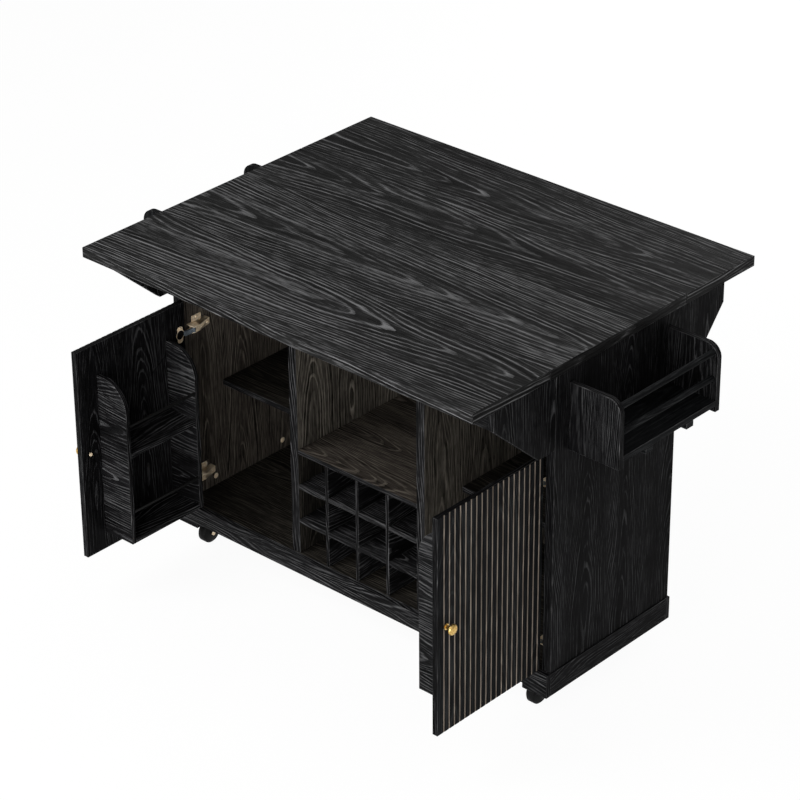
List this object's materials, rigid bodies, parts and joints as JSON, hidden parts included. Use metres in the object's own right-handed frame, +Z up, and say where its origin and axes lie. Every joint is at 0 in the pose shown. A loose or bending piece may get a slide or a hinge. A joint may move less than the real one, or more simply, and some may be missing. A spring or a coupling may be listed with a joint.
{
  "type": "kitchen cart",
  "caption": "Rolling kitchen cart with a drop-leaf top, fluted doors with inner racks, a bottle rack, a spice rack and a towel rack.",
  "frame": {"origin": "on the floor, under the middle of the bounding box with both doors open and both leaves up", "axes": "+X to the cart's right along the top's length, +Y to its back, away from the doors, +Z up"},
  "size_m": [1.48, 1.0746, 0.916],
  "materials": {
    "black_oak": "matte",
    "black_oak_inside": "matte",
    "black_oak_grooved": "matte",
    "brass": "satin",
    "hinge_nickel": "satin",
    "black_steel": "satin",
    "black_nylon": "matte"
  },
  "bodies": {
    "cabinet": {"side_left": "black_oak", "side_right": "black_oak", "divider_left": "black_oak_inside", "divider_right": "black_oak_inside", "bottom_board": "black_oak", "back_panel": "black_oak_inside", "ceiling_board": "black_oak_inside", "fascia": "black_oak", "plinth_front": "black_oak", "plinth_back": "black_oak", "plinth_sides": "black_oak", "side_shelves": "black_oak_inside", "wine_top_board": "black_oak_inside", "wine_shelves": "black_oak_inside", "wine_uprights": "black_oak_inside", "stemware_rails": "black_oak_inside", "top_centre": "black_oak", "wing_hinges_fixed": "hinge_nickel", "leaf_hinges_fixed": "hinge_nickel", "door_hinge_arms": "hinge_nickel", "spice_rack_ends": "black_oak", "spice_board": "black_oak", "spice_rails": "black_oak", "towel_rack_ends": "black_oak", "towel_bar": "black_oak", "caster_plates": "black_steel"},
    "leaf_front": {"leaf_front": "black_oak", "leaf_front_plates": "hinge_nickel"},
    "leaf_back": {"leaf_back": "black_oak", "leaf_back_plates": "hinge_nickel"},
    "door_left": {"door_left": "black_oak_grooved", "door_left_knob": "brass", "door_left_rack_sides": "black_oak", "door_left_rack_shelves": "black_oak", "door_left_rack_bars": "black_steel", "door_left_cups": "hinge_nickel"},
    "door_left_links": {"door_left_links": "hinge_nickel"},
    "door_right": {"door_right": "black_oak_grooved", "door_right_knob": "brass", "door_right_rack_sides": "black_oak", "door_right_rack_shelves": "black_oak", "door_right_rack_bars": "black_steel", "door_right_cups": "hinge_nickel"},
    "door_right_links": {"door_right_links": "hinge_nickel"},
    "wing_front_left": {"wing_front_left": "black_oak", "wing_front_left_plates": "hinge_nickel"},
    "wing_front_right": {"wing_front_right": "black_oak", "wing_front_right_plates": "hinge_nickel"},
    "wing_back_left": {"wing_back_left": "black_oak", "wing_back_left_plates": "hinge_nickel"},
    "wing_back_right": {"wing_back_right": "black_oak", "wing_back_right_plates": "hinge_nickel"},
    "caster_fork_front_left": {"caster_fork_front_left": "black_steel"},
    "caster_wheel_front_left": {"caster_wheel_front_left": "black_nylon"},
    "caster_fork_front_right": {"caster_fork_front_right": "black_steel"},
    "caster_wheel_front_right": {"caster_wheel_front_right": "black_nylon"},
    "caster_fork_back_left": {"caster_fork_back_left": "black_steel"},
    "caster_wheel_back_left": {"caster_wheel_back_left": "black_nylon"},
    "caster_fork_back_right": {"caster_fork_back_right": "black_steel"},
    "caster_wheel_back_right": {"caster_wheel_back_right": "black_nylon"}
  },
  "joints": [
    {"name": "leaf_front_lift", "type": "hinge", "parent": "cabinet", "child": "leaf_front", "pos_m": [0, -0.20145, 0.8868], "axis": [-1, 0, 0], "range_deg": [0, 2]},
    {"name": "leaf_back_lift", "type": "hinge", "parent": "cabinet", "child": "leaf_back", "pos_m": [0, 0.28105, 0.8868], "axis": [1, 0, 0], "range_deg": [0, 2]},
    {"name": "door_left_close", "type": "hinge", "parent": "cabinet", "child": "door_left", "pos_m": [-0.5738, -0.18, 0.4015], "axis": [0, 0, 1], "range_deg": [0, 90]},
    {"name": "door_left_link_turn", "type": "hinge", "parent": "cabinet", "child": "door_left_links", "pos_m": [-0.5515, -0.1562, 0.4015], "axis": [0, 0, 1], "range_deg": [0, 90]},
    {"name": "door_right_close", "type": "hinge", "parent": "cabinet", "child": "door_right", "pos_m": [0.5738, -0.18, 0.4015], "axis": [0, 0, -1], "range_deg": [0, 90]},
    {"name": "door_right_link_turn", "type": "hinge", "parent": "cabinet", "child": "door_right_links", "pos_m": [0.5515, -0.1562, 0.4015], "axis": [0, 0, -1], "range_deg": [0, 90]},
    {"name": "wing_front_left_fold", "type": "hinge", "parent": "cabinet", "child": "wing_front_left", "pos_m": [-0.5798, -0.1809, 0.7973], "axis": [0, 0, 1], "range_deg": [0, 90]},
    {"name": "wing_front_right_fold", "type": "hinge", "parent": "cabinet", "child": "wing_front_right", "pos_m": [0.5798, -0.1809, 0.7973], "axis": [0, 0, -1], "range_deg": [0, 90]},
    {"name": "wing_back_left_fold", "type": "hinge", "parent": "cabinet", "child": "wing_back_left", "pos_m": [-0.5798, 0.2605, 0.7973], "axis": [0, 0, -1], "range_deg": [0, 90]},
    {"name": "wing_back_right_fold", "type": "hinge", "parent": "cabinet", "child": "wing_back_right", "pos_m": [0.5798, 0.2605, 0.7973], "axis": [0, 0, 1], "range_deg": [0, 90]},
    {"name": "caster_front_left_swivel", "type": "hinge", "parent": "cabinet", "child": "caster_fork_front_left", "pos_m": [-0.5365, -0.1302, 0.0738], "axis": [0, 0, 1], "continuous": true},
    {"name": "caster_front_left_roll", "type": "hinge", "parent": "caster_fork_front_left", "child": "caster_wheel_front_left", "pos_m": [-0.5365, -0.1492, 0.028], "axis": [1, 0, 0], "continuous": true},
    {"name": "caster_front_right_swivel", "type": "hinge", "parent": "cabinet", "child": "caster_fork_front_right", "pos_m": [0.5365, -0.1302, 0.0738], "axis": [0, 0, 1], "continuous": true},
    {"name": "caster_front_right_roll", "type": "hinge", "parent": "caster_fork_front_right", "child": "caster_wheel_front_right", "pos_m": [0.5365, -0.1492, 0.028], "axis": [1, 0, 0], "continuous": true},
    {"name": "caster_back_left_swivel", "type": "hinge", "parent": "cabinet", "child": "caster_fork_back_left", "pos_m": [-0.5365, 0.1958, 0.0738], "axis": [0, 0, 1], "continuous": true},
    {"name": "caster_back_left_roll", "type": "hinge", "parent": "caster_fork_back_left", "child": "caster_wheel_back_left", "pos_m": [-0.5365, 0.1768, 0.028], "axis": [1, 0, 0], "continuous": true},
    {"name": "caster_back_right_swivel", "type": "hinge", "parent": "cabinet", "child": "caster_fork_back_right", "pos_m": [0.5365, 0.1958, 0.0738], "axis": [0, 0, 1], "continuous": true},
    {"name": "caster_back_right_roll", "type": "hinge", "parent": "caster_fork_back_right", "child": "caster_wheel_back_right", "pos_m": [0.5365, 0.1768, 0.028], "axis": [1, 0, 0], "continuous": true}
  ],
  "couplings": [
    {"joint": "door_left_link_turn", "follows": "door_left_close", "ratio": 1},
    {"joint": "door_right_link_turn", "follows": "door_right_close", "ratio": 1}
  ]
}
